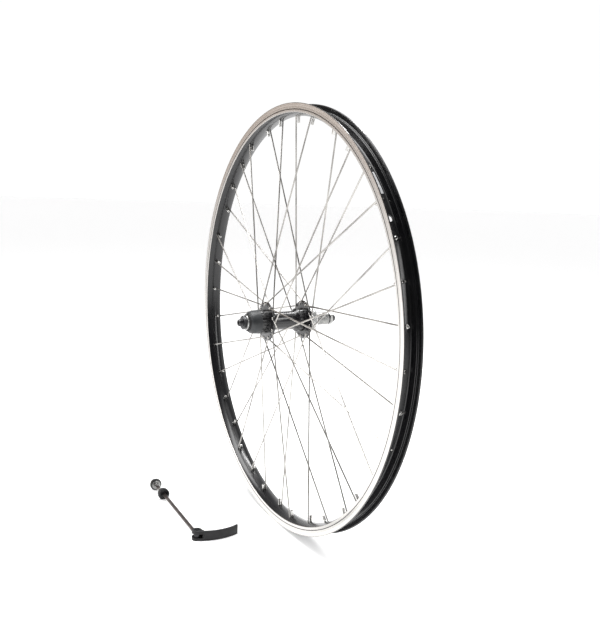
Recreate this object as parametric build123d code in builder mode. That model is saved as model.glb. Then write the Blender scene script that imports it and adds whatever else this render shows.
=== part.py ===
from build123d import *
import math
import os

# Rear bicycle wheel with a hollow axle, and its quick release skewer lying beside it.
# Millimetres.  The wheel turns about Y and its centre is the origin.  +Y is the drive side,
# -Y the other side, +Z is up.  Angles about the axle run from +X towards +Z.

# ---- driving dimensions -------------------------------------------------------------------
# rim
rim_radius = 286.0
rim_width = 24.9
track_inner_width = 23.3
track_height = 11.9
crown_bulge = 0.31
crown_spread = 0.56
lip_chamfer = 0.5
hook_depth = 0.6
hook_height = 3.0
bead_corner = 0.8
well_corner = 0.9
wear_groove_depth = 0.35
wear_groove_width = 0.9
wear_groove_below_edge = 8.1
bead_seat_radius = 279.5
side_wall = 1.5
bead_seat_width = 2.6
well_depth = 6.9
well_width = 12.6
bed_thickness = 2.4
valve_angle = 33.0
valve_hole_radius = 4.25

# spokes and nipples
spoke_count = 36
spoke_crossings = 3
spoke_radius = 1.0
elbow_radius = 2.0
elbow_offset = 1.6
spoke_head_radius = 1.9
spoke_head_height = 1.0
spoke_head_taper = 25.0
nipple_offset = 1.5
nipple_shank_radius = 1.95
nipple_shank_length = 10.5
nipple_head_radius = 2.7
nipple_head_height = 2.2
nipple_hole_clearance = 0.2
spot_face_depth = 0.5
spot_face_clearance = 0.25

# hub shell
left_flange_y = -32.0
right_flange_y = 23.5
flange_radius = 26.4
flange_thickness = 3.0
flange_edge_thickness = 1.8
flange_taper_width = 2.2
spoke_circle_radius = 22.5
spoke_hole_clearance = 0.3
scallop_radius = 2.6
scallop_depth = 1.2
drum_radius = 16.0
left_drum_length = 10.4
right_drum_length = 11.4
flute_radius = 1.7
flute_depth = 0.7
flute_margin = 1.6
drum_corner = 0.8
tube_radius = 12.6
tube_bore_radius = 10.0
tube_step = 2.5
tube_flare = 2.6
tube_flare_length = 6.0
nose_radius = 14.9
thread_radius = 17.45
thread_length = 13.4
thread_lead_in = 0.9
cup_radius = 14.0

# bearings
ball_radius = 3.175
ball_count = 9
ball_circle_radius = 9.6
ball_play = 0.045
left_ball_y = -45.2
right_ball_y = 33.5
cup_outboard = 4.6
cup_inboard = 5.2
cup_neck_radius = 7.4
cone_body_radius = 7.5
cone_flange_radius = 9.2
cone_flange_end = 5.0
cone_taper = 1.5
cone_nose = 1.5
shield_thickness = 0.8
turning_gap = 0.3

# axle and what is screwed on it
over_locknuts = 135.0
axle_radius = 5.0
axle_end_radius = 4.8
axle_bore_radius = 2.75
axle_overhang = 5.5
axle_chamfer = 0.8
locknut_flats = 17.0
locknut_corner = 0.7
left_locknut_thickness = 4.0
left_washer_thickness = 2.6
left_washer_radius = 10.0
left_washer_chamfer = 0.4
right_locknut_thickness = 4.5
right_lock_washer_thickness = 1.8
right_lock_washer_radius = 8.2
right_spacer_length = 20.2
right_spacer_radius = 8.5
spacer_groove_depth = 0.45
spacer_groove_pitch = 2.0

# end cap and seal on the left
end_cap_tip_radius = 12.3
end_cap_rim_radius = 16.1
end_cap_wall = 1.4
end_cap_bulge = 0.7
end_cap_corner = 0.5
end_cap_relief = 1.5
seal_radius = 12.0
seal_thickness = 1.6

# skewer
rod_radius = 2.5
rod_overrun = 11.0
rod_chamfer = 0.5
nut_distance = 180.0
cup_distance = 143.0
barrel_radius = 4.0
barrel_recess = 0.7
lever_height = 13.0
ear_radius = 6.6
ear_offset = 0.9
fork_gap = 5.5
fork_web = 1.2
lever_reach = 56.0
lever_bulge = 12.0
lever_root_thickness = 3.6
lever_belly_thickness = 2.9
lever_tip_thickness = 2.4
lever_tip_slant = 0.6
lever_root_depth = 1.5
lever_inner_slant = 3.4
pivot_fit = 0.05
cam_cup_radius = 8.3
cam_cup_length = 8.0
cam_cup_clearance = 0.3
cam_cup_fillet = 1.6
saddle_depth = 3.0
saddle_clearance = 0.2
grip_ring_thickness = 1.5
grip_ring_width = 2.6
cam_grip_ring_inset = 0.5
nut_radius = 8.7
nut_rim_thickness = 4.5
nut_boss_radius = 6.2
nut_boss_length = 7.0
nut_boss_taper = 4.0
nut_rim_wall = 2.5
nut_insert_radius = 4.8
nut_insert_length = 3.0
nut_recess_depth = 1.2
thread_fit = 0.05
spring_wire_radius = 0.4
spring_length = 10.5
spring_turns = 3.5
spring_large_radius = 5.6
spring_small_radius = 3.3
pivot_x = 15.5
pivot_y = -132.0

# ---- worked-out sizes ---------------------------------------------------------------------
hole_pitch = 360.0 / spoke_count
first_nipple_angle = valve_angle - hole_pitch / 2
cross_angle = spoke_crossings * 2 * hole_pitch
track_inner_radius = rim_radius - track_height
wear_groove_radius = rim_radius - wear_groove_below_edge
well_radius = bead_seat_radius - well_depth
crown_radius = well_radius - bed_thickness
half_flange = flange_thickness / 2
half_track = over_locknuts / 2
spoke_hole_radius = spoke_radius + spoke_hole_clearance
race_radius = ball_radius + ball_play
cup_mouth_radius = ball_circle_radius + race_radius
left_shell_end = left_ball_y - cup_outboard
right_thread_start = right_flange_y + half_flange
right_shell_end = right_thread_start + thread_length
left_washer_face = -half_track + left_locknut_thickness
left_cone_face = left_washer_face + left_washer_thickness
right_washer_face = half_track - right_locknut_thickness
right_spacer_face = right_washer_face - right_lock_washer_thickness
right_cone_face = right_spacer_face - right_spacer_length
left_drum_end = left_flange_y - half_flange - left_drum_length
right_drum_end = right_flange_y - half_flange - right_drum_length
cap_end = left_cone_face + turning_gap + seal_thickness

# the skewer rests on the lever's lower edge and on the cam cup's rim
cup_rise = cam_cup_radius - lever_height / 2
skewer_tilt = math.degrees(math.asin(cup_rise / (cup_distance + lever_bulge)))
tilt_sin = math.sin(math.radians(skewer_tilt))
tilt_cos = math.cos(math.radians(skewer_tilt))
pivot_z = -rim_radius + lever_height / 2 + lever_bulge * tilt_sin
along_rod = Vector(tilt_cos, 0, -tilt_sin)
pivot_axis = Vector(tilt_sin, 0, tilt_cos)
lever_plane = Plane(origin=(pivot_x, pivot_y, pivot_z), x_dir=along_rod, z_dir=pivot_axis)


def save(part, name):
    """Label one finished piece and write its STEP file."""
    part.label = name
    export_step(part, f"parts/{name}.step")


def wheel_plane(y):
    """A plane across the axle at y: its local x and y are the wheel's X and Z."""
    return Plane.XZ.offset(-y)


def polar(radius, angle, y):
    """The point at a radius and an angle about the axle, at y along it."""
    turn = math.radians(angle)
    return Vector(radius * math.cos(turn), y, radius * math.sin(turn))


def rod_plane(x):
    """A plane across the skewer at x along it, facing the lever.  x is negative towards the nut."""
    origin = Vector(pivot_x, pivot_y, pivot_z) + along_rod * x
    return Plane(origin=origin, x_dir=(0, 1, 0), z_dir=along_rod)


def track_half_width(radius):
    """Half the rim's width at a radius on its slightly tapered brake tracks."""
    share = (radius - track_inner_radius) / track_height
    return (track_inner_width + share * (rim_width - track_inner_width)) / 2


os.makedirs("parts", exist_ok=True)

# ---- where each spoke runs ----------------------------------------------------------------
# Every second nipple belongs to the right flange.  On each flange every second spoke leads.
spokes = []
for index in range(spoke_count):
    side = 1 if index % 2 == 0 else -1
    turn = -side if (index // 2) % 2 == 0 else side
    angle = first_nipple_angle + index * hole_pitch
    flange_y = right_flange_y if side > 0 else left_flange_y
    hole_angle = angle + turn * cross_angle
    elbow_y = flange_y + turn * (half_flange + elbow_offset)
    elbow = polar(spoke_circle_radius, hole_angle, elbow_y)
    seat = polar(well_radius - spot_face_depth, angle, side * nipple_offset)
    outward = (seat - elbow).normalized()
    head = polar(spoke_circle_radius, hole_angle, flange_y - turn * half_flange)
    spokes.append({"side": side, "turn": turn, "angle": angle, "hole_angle": hole_angle,
                   "elbow": elbow, "seat": seat, "outward": outward, "head": head})

# ---- rim: one extruded section, with a hooked edge and a single spoke bed -----------------
with BuildPart() as rim:
    with BuildSketch(Plane.XY) as rim_section:
        with BuildLine() as rim_outline:
            lip = rim_width / 2
            inner_wall = lip - side_wall
            shoulder = inner_wall - bead_seat_width
            half_well = well_width / 2
            groove_low = wear_groove_radius - wear_groove_width / 2
            groove_high = wear_groove_radius + wear_groove_width / 2
            groove_floor = track_half_width(wear_groove_radius) - wear_groove_depth
            rise = track_inner_radius - crown_radius
            half_inner = track_inner_width / 2
            hook = inner_wall - hook_depth
            ThreePointArc((crown_radius, 0),
                          (crown_radius + crown_bulge * rise, crown_spread * half_inner),
                          (track_inner_radius, half_inner))
            Polyline((track_inner_radius, half_inner),
                     (groove_low, track_half_width(groove_low)),
                     (wear_groove_radius, groove_floor),
                     (groove_high, track_half_width(groove_high)),
                     (rim_radius - lip_chamfer, lip), (rim_radius, lip - lip_chamfer),
                     (rim_radius, inner_wall), (rim_radius - hook_depth, hook),
                     (rim_radius - hook_height / 2, hook), (rim_radius - hook_height, inner_wall),
                     (bead_seat_radius + bead_corner, inner_wall),
                     (bead_seat_radius, inner_wall - bead_corner),
                     (bead_seat_radius, shoulder + bead_corner / 2),
                     (bead_seat_radius - bead_corner, shoulder),
                     (well_radius + well_corner, half_well),
                     (well_radius, half_well - well_corner), (well_radius, 0), (crown_radius, 0))
        make_face()
        mirror(about=Plane.XZ)
    revolve(axis=Axis.Y)
    for spoke in spokes:
        seat_plane = Plane(origin=spoke["seat"], z_dir=spoke["outward"])
        with BuildSketch(seat_plane):
            Circle(nipple_head_radius + spot_face_clearance)
        extrude(amount=nipple_head_height, mode=Mode.SUBTRACT)
        with BuildSketch(seat_plane):
            Circle(nipple_shank_radius + nipple_hole_clearance)
        extrude(amount=2 * bed_thickness, both=True, mode=Mode.SUBTRACT)
    valve_start = polar(well_radius + bed_thickness, valve_angle, 0)
    with BuildSketch(Plane(origin=valve_start, z_dir=polar(1, valve_angle, 0))):
        Circle(valve_hole_radius)
    extrude(amount=-3 * bed_thickness, mode=Mode.SUBTRACT)
save(rim.part, "rim")

# ---- nipples: a shank that passes the rim and a head on the spot face ---------------------
for side, name in ((-1, "left_nipples"), (1, "right_nipples")):
    with BuildPart() as nipples:
        for spoke in spokes:
            if spoke["side"] != side:
                continue
            seat_plane = Plane(origin=spoke["seat"], z_dir=spoke["outward"])
            with BuildSketch(seat_plane):
                Circle(nipple_head_radius)
                Circle(spoke_radius, mode=Mode.SUBTRACT)
            extrude(amount=nipple_head_height)
            with BuildSketch(seat_plane):
                Circle(nipple_shank_radius)
                Circle(spoke_radius, mode=Mode.SUBTRACT)
            extrude(amount=-nipple_shank_length)
    save(nipples.part, name)

# ---- spokes: a button head, a J bend through the flange and a straight run to the nipple --
for side, side_name in ((-1, "left"), (1, "right")):
    for turn, turn_name in ((-1, "leading"), (1, "trailing")):
        with BuildPart() as spoke_set:
            for spoke in spokes:
                if spoke["side"] != side or spoke["turn"] != turn:
                    continue
                tip = spoke["seat"] + spoke["outward"] * (nipple_head_height / 2)
                with BuildLine() as route:
                    FilletPolyline(spoke["head"], spoke["elbow"], tip, radius=elbow_radius)
                with BuildSketch(Plane(origin=spoke["head"], z_dir=(0, turn, 0))):
                    Circle(spoke_radius)
                sweep(path=route.wires()[0])
                with BuildSketch(Plane(origin=spoke["head"], z_dir=(0, -turn, 0))):
                    Circle(spoke_head_radius)
                extrude(amount=spoke_head_height, taper=spoke_head_taper)
        save(spoke_set.part, f"{side_name}_{turn_name}_spokes")

# ---- hub shell: fluted drums, two flanges, a waisted tube and the freewheel thread --------
with BuildPart() as hub_shell:
    with BuildSketch(Plane.XY):
        with BuildLine():
            flange_step = (flange_thickness - flange_edge_thickness) / 2
            taper_start = flange_radius - flange_taper_width
            outline = [(cup_radius, left_shell_end), (nose_radius, left_shell_end),
                       (nose_radius, left_drum_end), (drum_radius, left_drum_end)]
            for flange_y in (left_flange_y, right_flange_y):
                low = flange_y - half_flange
                high = flange_y + half_flange
                if flange_y > 0:
                    outline += [(tube_radius, right_drum_end - tube_step),
                                (drum_radius - drum_corner, right_drum_end),
                                (drum_radius, right_drum_end + drum_corner)]
                outline += [(drum_radius, low), (taper_start, low), (flange_radius, low + flange_step),
                            (flange_radius, high - flange_step), (taper_start, high)]
                if flange_y < 0:
                    outline += [(tube_radius + tube_flare, high),
                                (tube_radius + tube_flare / 4, high + tube_flare_length * 0.4),
                                (tube_radius, high + tube_flare_length)]
            right_seat = right_ball_y - cup_inboard
            left_seat = left_ball_y + cup_inboard
            outline += [(thread_radius, right_thread_start),
                        (thread_radius, right_shell_end - thread_lead_in),
                        (thread_radius - thread_lead_in, right_shell_end),
                        (cup_radius, right_shell_end), (cup_radius, right_seat),
                        (tube_bore_radius, right_seat), (tube_bore_radius, left_seat),
                        (cup_radius, left_seat)]
            Polyline(*outline, close=True)
        make_face()
    revolve(axis=Axis.Y)
    for flange_y, first_hole in ((left_flange_y, first_nipple_angle + hole_pitch + cross_angle),
                                 (right_flange_y, first_nipple_angle + cross_angle)):
        with BuildSketch(wheel_plane(flange_y)):
            with PolarLocations(spoke_circle_radius, spoke_count // 2, start_angle=first_hole):
                Circle(spoke_hole_radius)
            with PolarLocations(flange_radius + scallop_radius - scallop_depth, spoke_count // 2,
                                start_angle=first_hole + hole_pitch):
                Circle(scallop_radius)
        extrude(amount=flange_thickness, both=True, mode=Mode.SUBTRACT)
    flute_circle = drum_radius + flute_radius - flute_depth
    for start, stop in ((left_drum_end - flute_margin, left_flange_y - half_flange - flute_margin),
                        (right_drum_end + flute_margin, right_flange_y - half_flange - flute_margin)):
        with BuildSketch(wheel_plane(start)):
            with PolarLocations(flute_circle, spoke_count // 2, start_angle=valve_angle):
                Circle(flute_radius)
        extrude(amount=start - stop, mode=Mode.SUBTRACT)
save(hub_shell.part, "hub_shell")


def bearing_pieces(side, side_name, ball_y, cone_face):
    """The cup, the dust shield, the balls and the cone of one bearing.  side is -1 or 1."""
    def out(distance):
        return ball_y + side * distance

    with BuildPart() as cup:
        with BuildSketch(Plane.XY):
            with BuildLine():
                Polyline((cup_neck_radius, out(-cup_inboard)), (cup_radius, out(-cup_inboard)),
                         (cup_radius, out(cup_outboard)), (cup_mouth_radius, out(cup_outboard)),
                         (cup_mouth_radius, ball_y), (cup_neck_radius, ball_y), close=True)
            make_face()
            with Locations((ball_circle_radius, ball_y)):
                Circle(race_radius, mode=Mode.SUBTRACT)
        revolve(axis=Axis.Y)
    save(cup.part, f"{side_name}_bearing_cup")

    with BuildPart() as shield:
        with BuildSketch(Plane.XY):
            with BuildLine():
                inner = cone_flange_radius + turning_gap
                Polyline((inner, out(cup_outboard - shield_thickness)), (inner, out(cup_outboard)),
                         (cup_mouth_radius, out(cup_outboard)),
                         (cup_mouth_radius, out(cup_outboard - shield_thickness)), close=True)
            make_face()
        revolve(axis=Axis.Y)
    save(shield.part, f"{side_name}_dust_shield")

    with BuildPart() as balls:
        for place in range(ball_count):
            with Locations(polar(ball_circle_radius, 360 / ball_count * place, ball_y)):
                Sphere(ball_radius)
    save(balls.part, f"{side_name}_bearing_balls")

    with BuildPart() as cone:
        with BuildSketch(Plane.XY):
            with BuildLine():
                cone_nose_radius = ball_circle_radius - race_radius
                Polyline((axle_radius, cone_face), (cone_body_radius, cone_face),
                         (cone_body_radius, out(cone_flange_end + cone_taper)),
                         (cone_flange_radius, out(cone_flange_end)),
                         (cone_flange_radius, ball_y), (cone_nose_radius, ball_y),
                         (cone_nose_radius, out(-cone_nose)), (axle_radius, out(-cone_nose)),
                         close=True)
            make_face()
            with Locations((ball_circle_radius, ball_y)):
                Circle(race_radius, mode=Mode.SUBTRACT)
        revolve(axis=Axis.Y)
    save(cone.part, f"{side_name}_cone")


bearing_pieces(-1, "left", left_ball_y, left_cone_face)
bearing_pieces(1, "right", right_ball_y, right_cone_face)

# ---- end cap: a plastic cover pushed over the shell's left nose ---------------------------
with BuildPart() as left_end_cap:
    with BuildSketch(Plane.XY):
        with BuildLine():
            cap_hole = cone_body_radius + turning_gap
            cap_depth = left_drum_end - cap_end
            cap_inside = cap_end + end_cap_wall
            cap_corner = (end_cap_tip_radius + end_cap_corner, cap_end + end_cap_corner)
            Line((nose_radius, left_drum_end), (end_cap_rim_radius, left_drum_end))
            ThreePointArc((end_cap_rim_radius, left_drum_end),
                          (end_cap_rim_radius - end_cap_bulge, left_drum_end - cap_depth / 2),
                          cap_corner)
            Polyline(cap_corner, (end_cap_tip_radius, cap_end),
                     (cap_hole, cap_end), (cap_hole, cap_inside),
                     (end_cap_tip_radius - end_cap_wall, cap_inside),
                     (nose_radius - end_cap_wall, left_shell_end - end_cap_relief),
                     (nose_radius - end_cap_wall, left_shell_end),
                     (nose_radius, left_shell_end), (nose_radius, left_drum_end))
        make_face()
    revolve(axis=Axis.Y)
save(left_end_cap.part, "left_end_cap")

with BuildPart() as left_seal:
    with BuildSketch(wheel_plane(cap_end)):
        Circle(seal_radius)
        Circle(cone_body_radius + turning_gap, mode=Mode.SUBTRACT)
    extrude(amount=seal_thickness)
save(left_seal.part, "left_seal")

# ---- axle and the pieces screwed on it ----------------------------------------------------
with BuildPart() as axle:
    with BuildSketch(Plane.XY):
        with BuildLine():
            axle_tip = half_track + axle_overhang
            chamfer_radius = axle_end_radius - axle_chamfer
            Polyline((axle_bore_radius, -axle_tip), (chamfer_radius, -axle_tip),
                     (axle_end_radius, axle_chamfer - axle_tip), (axle_end_radius, -half_track),
                     (axle_radius, -half_track), (axle_radius, half_track),
                     (axle_end_radius, half_track), (axle_end_radius, axle_tip - axle_chamfer),
                     (chamfer_radius, axle_tip), (axle_bore_radius, axle_tip), close=True)
        make_face()
    revolve(axis=Axis.Y)
save(axle.part, "axle")

with BuildPart() as left_washer:
    with BuildSketch(wheel_plane(left_washer_face)):
        Circle(left_washer_radius)
        Circle(axle_radius, mode=Mode.SUBTRACT)
    extrude(amount=-left_washer_thickness)
    round_edges = left_washer.edges().filter_by(GeomType.CIRCLE)
    chamfer(round_edges.sort_by(SortBy.RADIUS)[-2:], left_washer_chamfer)
save(left_washer.part, "left_washer")

for name, face, thickness in (("left_locknut", left_washer_face, left_locknut_thickness),
                              ("right_locknut", half_track, right_locknut_thickness)):
    with BuildPart() as locknut:
        with BuildSketch(wheel_plane(face)):
            RegularPolygon(radius=locknut_flats / 2, side_count=6, major_radius=False)
            Circle(axle_radius, mode=Mode.SUBTRACT)
        extrude(amount=thickness)
        with BuildSketch(wheel_plane(face)):
            Circle(locknut_flats / 2 + locknut_corner)
        extrude(amount=thickness, mode=Mode.INTERSECT)
    save(locknut.part, name)

with BuildPart() as right_lock_washer:
    with BuildSketch(wheel_plane(right_washer_face)):
        Circle(right_lock_washer_radius)
        Circle(axle_radius, mode=Mode.SUBTRACT)
    extrude(amount=right_lock_washer_thickness)
save(right_lock_washer.part, "right_lock_washer")

with BuildPart() as right_spacer:
    with BuildSketch(wheel_plane(right_spacer_face)):
        Circle(right_spacer_radius)
        Circle(axle_radius, mode=Mode.SUBTRACT)
    extrude(amount=right_spacer_length)
    groove_count = int(right_spacer_length / spacer_groove_pitch) - 1
    for groove in range(groove_count):
        groove_y = right_cone_face + (groove + 1) * spacer_groove_pitch
        with BuildSketch(wheel_plane(groove_y + spacer_groove_pitch / 4)):
            Circle(right_spacer_radius + 1)
            Circle(right_spacer_radius - spacer_groove_depth, mode=Mode.SUBTRACT)
        extrude(amount=spacer_groove_pitch / 2, mode=Mode.SUBTRACT)
save(right_spacer.part, "right_spacer")

# ---- skewer rod and the barrel that the lever turns on -----------------------------------
with BuildPart() as skewer_rod:
    with BuildSketch(rod_plane(-nut_distance - rod_overrun)):
        Circle(rod_radius)
    extrude(amount=nut_distance + rod_overrun + rod_radius / 2)
    chamfer(skewer_rod.edges().filter_by(GeomType.CIRCLE).sort_by(Axis.X)[0], rod_chamfer)
save(skewer_rod.part, "skewer_rod")

with BuildPart() as skewer_barrel:
    with BuildSketch(lever_plane):
        Circle(barrel_radius)
    extrude(amount=lever_height / 2 - barrel_recess, both=True)
    with BuildSketch(rod_plane(-2 * barrel_radius)):
        Circle(rod_radius)
    extrude(amount=2 * barrel_radius + rod_radius / 2, mode=Mode.SUBTRACT)
save(skewer_barrel.part, "skewer_barrel")

# ---- lever: two eccentric ears, a fork slot and a blade that bows away from the wheel -----
with BuildPart() as quick_release_lever:
    with BuildSketch(lever_plane.offset(-lever_height / 2)):
        with Locations((-ear_offset, 0)):
            Circle(ear_radius)
        with BuildLine():
            tip_out = (lever_bulge / 2, lever_reach)
            tip_in = (tip_out[0] - lever_tip_thickness, lever_reach - lever_tip_slant)
            root_out = (ear_radius - 1.5 * ear_offset, -lever_root_depth)
            root_in = (-lever_tip_thickness, ear_radius - ear_offset)
            elbow_in = (lever_bulge - lever_root_thickness - lever_inner_slant,
                        ear_radius + 2 * ear_offset)
            belly_out = (lever_bulge, lever_reach / 2)
            belly_in = (lever_bulge - lever_belly_thickness, lever_reach / 2)
            ThreePointArc(root_out, belly_out, tip_out)
            Line(tip_out, tip_in)
            ThreePointArc(tip_in, belly_in, elbow_in)
            Polyline(elbow_in, root_in, root_out)
        make_face()
    extrude(amount=lever_height)
    with BuildSketch(lever_plane):
        with Locations((0, barrel_radius + fork_web)):
            Rectangle(4 * ear_radius, 4 * ear_radius, align=(Align.CENTER, Align.MAX))
    extrude(amount=fork_gap / 2, both=True, mode=Mode.SUBTRACT)
    with BuildSketch(lever_plane):
        Circle(barrel_radius + pivot_fit)
    extrude(amount=lever_height, both=True, mode=Mode.SUBTRACT)
save(quick_release_lever.part, "quick_release_lever")

# ---- cam cup on the rod, its grip ring and the two springs --------------------------------
cup_front = -cup_distance + cam_cup_length / 2
cup_back = cup_front - cam_cup_length
sliding_radius = rod_radius + cam_cup_clearance
with BuildPart() as cam_cup:
    with BuildSketch(rod_plane(cup_front)):
        Circle(cam_cup_radius)
    extrude(amount=-cam_cup_length)
    fillet(cam_cup.edges().sort_by(Axis.X)[-1], cam_cup_fillet)
    saddle_centre = lever_plane.from_local_coords((cup_front + ear_radius - saddle_depth, 0, 0))
    with BuildSketch(Plane(origin=saddle_centre, x_dir=along_rod, z_dir=pivot_axis)):
        Circle(ear_radius + saddle_clearance)
    extrude(amount=2 * cam_cup_radius, both=True, mode=Mode.SUBTRACT)
    with BuildSketch(rod_plane(cup_front)):
        Circle(sliding_radius)
    extrude(amount=-cam_cup_length, mode=Mode.SUBTRACT)
save(cam_cup.part, "cam_cup")


def grip_ring(name, start, radius, direction):
    """A plain steel ring that starts at start along the rod and ends along direction, -1 or 1."""
    with BuildPart() as ring:
        with BuildSketch(rod_plane(start)):
            Circle(radius)
            Circle(radius - grip_ring_width, mode=Mode.SUBTRACT)
        extrude(amount=direction * grip_ring_thickness)
    save(ring.part, name)


grip_ring("cam_grip_ring", cup_back, cam_cup_radius - cam_grip_ring_inset, -1)

# ---- skewer nut: knurled rim, boss, nylon insert and grip ring ----------------------------
nut_face = -nut_distance
with BuildPart() as skewer_nut:
    with BuildSketch(rod_plane(nut_face)):
        Circle(nut_radius)
    extrude(amount=-nut_rim_thickness)
    with BuildSketch(rod_plane(nut_face - nut_rim_thickness)):
        Circle(nut_boss_radius)
    extrude(amount=-nut_boss_length, taper=nut_boss_taper)
    with BuildSketch(rod_plane(nut_face)):
        Circle(nut_radius - nut_rim_wall)
    extrude(amount=-nut_recess_depth, mode=Mode.SUBTRACT)
    with BuildSketch(rod_plane(nut_face - nut_rim_thickness - nut_boss_length)):
        Circle(nut_insert_radius)
    extrude(amount=nut_insert_length, mode=Mode.SUBTRACT)
    with BuildSketch(rod_plane(nut_face)):
        Circle(rod_radius + thread_fit)
    extrude(amount=-nut_rim_thickness - nut_boss_length, mode=Mode.SUBTRACT)
save(skewer_nut.part, "skewer_nut")

with BuildPart() as nut_insert:
    with BuildSketch(rod_plane(nut_face - nut_rim_thickness - nut_boss_length)):
        Circle(nut_insert_radius)
        Circle(rod_radius + thread_fit, mode=Mode.SUBTRACT)
    extrude(amount=nut_insert_length)
save(nut_insert.part, "nut_insert")

nut_ring_start = nut_face - nut_recess_depth
grip_ring("nut_grip_ring", nut_ring_start, nut_radius - nut_rim_wall, 1)


def conical_spring(name, large_end, direction):
    """A cone of wire round the rod: its wide end at large_end, its narrow end along direction."""
    base = rod_plane(large_end + direction * spring_wire_radius)
    coil_length = spring_length - 2 * spring_wire_radius
    cone = -math.degrees(math.atan((spring_large_radius - spring_small_radius) / coil_length))
    with BuildPart() as spring:
        with BuildLine() as coil:
            Helix(pitch=coil_length / spring_turns, height=coil_length, radius=spring_large_radius,
                  center=base.origin, direction=along_rod * direction, cone_angle=cone)
        start = coil.line @ 0
        with BuildSketch(Plane(origin=start, z_dir=coil.line % 0)):
            Circle(spring_wire_radius)
        sweep(path=coil.wires()[0], is_frenet=True)
    save(spring.part, name)


conical_spring("cam_spring", cup_back - grip_ring_thickness, -1)
conical_spring("nut_spring", nut_ring_start + grip_ring_thickness, 1)

print("skewer tilt", round(skewer_tilt, 4), "pivot z", round(pivot_z, 4))
print("along rod", tuple(round(value, 6) for value in along_rod), "pivot axis",
      tuple(round(value, 6) for value in pivot_axis))
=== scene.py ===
import math

import bpy
from mathutils import Matrix, Quaternion, Vector


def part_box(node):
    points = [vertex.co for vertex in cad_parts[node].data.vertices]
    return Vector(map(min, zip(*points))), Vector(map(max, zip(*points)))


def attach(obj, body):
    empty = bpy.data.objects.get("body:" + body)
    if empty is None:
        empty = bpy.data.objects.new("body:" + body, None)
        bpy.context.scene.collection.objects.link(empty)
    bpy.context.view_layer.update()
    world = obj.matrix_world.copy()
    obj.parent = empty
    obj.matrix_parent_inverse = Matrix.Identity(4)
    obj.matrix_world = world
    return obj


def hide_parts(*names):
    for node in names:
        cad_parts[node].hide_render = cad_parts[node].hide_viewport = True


# A rear bicycle wheel for rim brakes, with its quick release skewer lying on the floor beside it.
# Metres.  The wheel turns about Y, +Y is the drive side, and the floor is at the rim's lowest point.
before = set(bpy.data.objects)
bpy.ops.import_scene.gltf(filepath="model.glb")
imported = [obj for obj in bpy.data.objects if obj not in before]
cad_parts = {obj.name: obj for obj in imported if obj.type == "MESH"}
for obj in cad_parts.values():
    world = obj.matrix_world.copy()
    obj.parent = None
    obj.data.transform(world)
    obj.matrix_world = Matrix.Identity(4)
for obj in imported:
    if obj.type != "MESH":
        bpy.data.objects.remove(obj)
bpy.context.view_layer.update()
mm = 0.001

# ---- Floor, studio light and camera -------------------------------------------------------
# A pale sweep of floor under a room that is white behind the wheel and dark behind the camera.
# Large soft lamps light it from above and from the left, and a narrow strip draws highlights
# along the hub.  The camera stands low on the right of the wheel.
floor_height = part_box("rim")[0].z
floor_span = 60.0
room_white = (1.0, 1.0, 1.0)
room_grey = (0.30, 0.30, 0.305)
room_dark = (0.07, 0.07, 0.073)
room_warm = (0.40, 0.31, 0.25)
dark_side = Vector((0.90, -0.30, 0.05)).normalized()
warm_side = Vector((-0.85, -0.50, 0.12)).normalized()
camera_place = Vector((0.8905, -0.4596, 0.1693))
camera_forward = Vector((-0.8692, 0.46728, -0.16168))
camera_roll = math.radians(2.1)
camera_lens = 42.27


def new_tree(owner):
    """An empty node tree on a material or a world."""
    owner.use_nodes = True
    owner.node_tree.nodes.clear()
    return owner.node_tree


def add_node(tree, kind, inputs=None, **settings):
    """One node: its settings by name, and its inputs as values or as sockets to link from."""
    node = tree.nodes.new("ShaderNode" + kind)
    for key, value in settings.items():
        setattr(node, key, value)
    for key, value in (inputs or {}).items():
        if isinstance(value, bpy.types.NodeSocket):
            tree.links.new(value, node.inputs[key])
        else:
            node.inputs[key].default_value = value
    return node


def share(tree, value, low, high, start=0.0, end=1.0):
    """A value's place between low and high, eased and scaled to run from start to end."""
    inputs = {"Value": value, "From Min": low, "From Max": high, "To Min": start, "To Max": end}
    return add_node(tree, "MapRange", inputs, interpolation_type="SMOOTHSTEP").outputs["Result"]


def blend_colour(tree, amount, first, second):
    """A colour that runs from the first to the second by an amount from 0 to 1."""
    mix = add_node(tree, "Mix", data_type="RGBA")
    tree.links.new(amount, mix.inputs["Factor"])
    for key, colour in (("A", first), ("B", second)):
        socket = [s for s in mix.inputs if s.name == key and s.type == "RGBA"][0]
        if isinstance(colour, bpy.types.NodeSocket):
            tree.links.new(colour, socket)
        else:
            socket.default_value = (*colour, 1)
    return [s for s in mix.outputs if s.type == "RGBA"][0]


def build_room():
    """The room: white behind the wheel, grey above, dark behind the camera and warm on one side."""
    world = bpy.data.worlds.new("studio_room")
    bpy.context.scene.world = world
    tree = new_tree(world)
    direction = add_node(tree, "TexCoord").outputs["Generated"]
    height = add_node(tree, "SeparateXYZ", {"Vector": direction}).outputs["Z"]
    warm = add_node(tree, "VectorMath", {0: direction, 1: warm_side}, operation="DOT_PRODUCT")
    dark = add_node(tree, "VectorMath", {0: direction, 1: dark_side}, operation="DOT_PRODUCT")
    sides = blend_colour(tree, share(tree, height, 0.26, 0.62), room_white, room_grey)
    front = blend_colour(tree, share(tree, dark.outputs["Value"], -0.10, 0.45), sides, room_dark)
    room = blend_colour(tree, share(tree, warm.outputs["Value"], 0.86, 0.97), front, room_warm)
    background = add_node(tree, "Background", {"Color": room, "Strength": 1.02})
    output = add_node(tree, "OutputWorld")
    tree.links.new(background.outputs[0], output.inputs["Surface"])


def clear_selection():
    """Nothing selected, in object mode."""
    bpy.ops.object.select_all(action="DESELECT")


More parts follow.
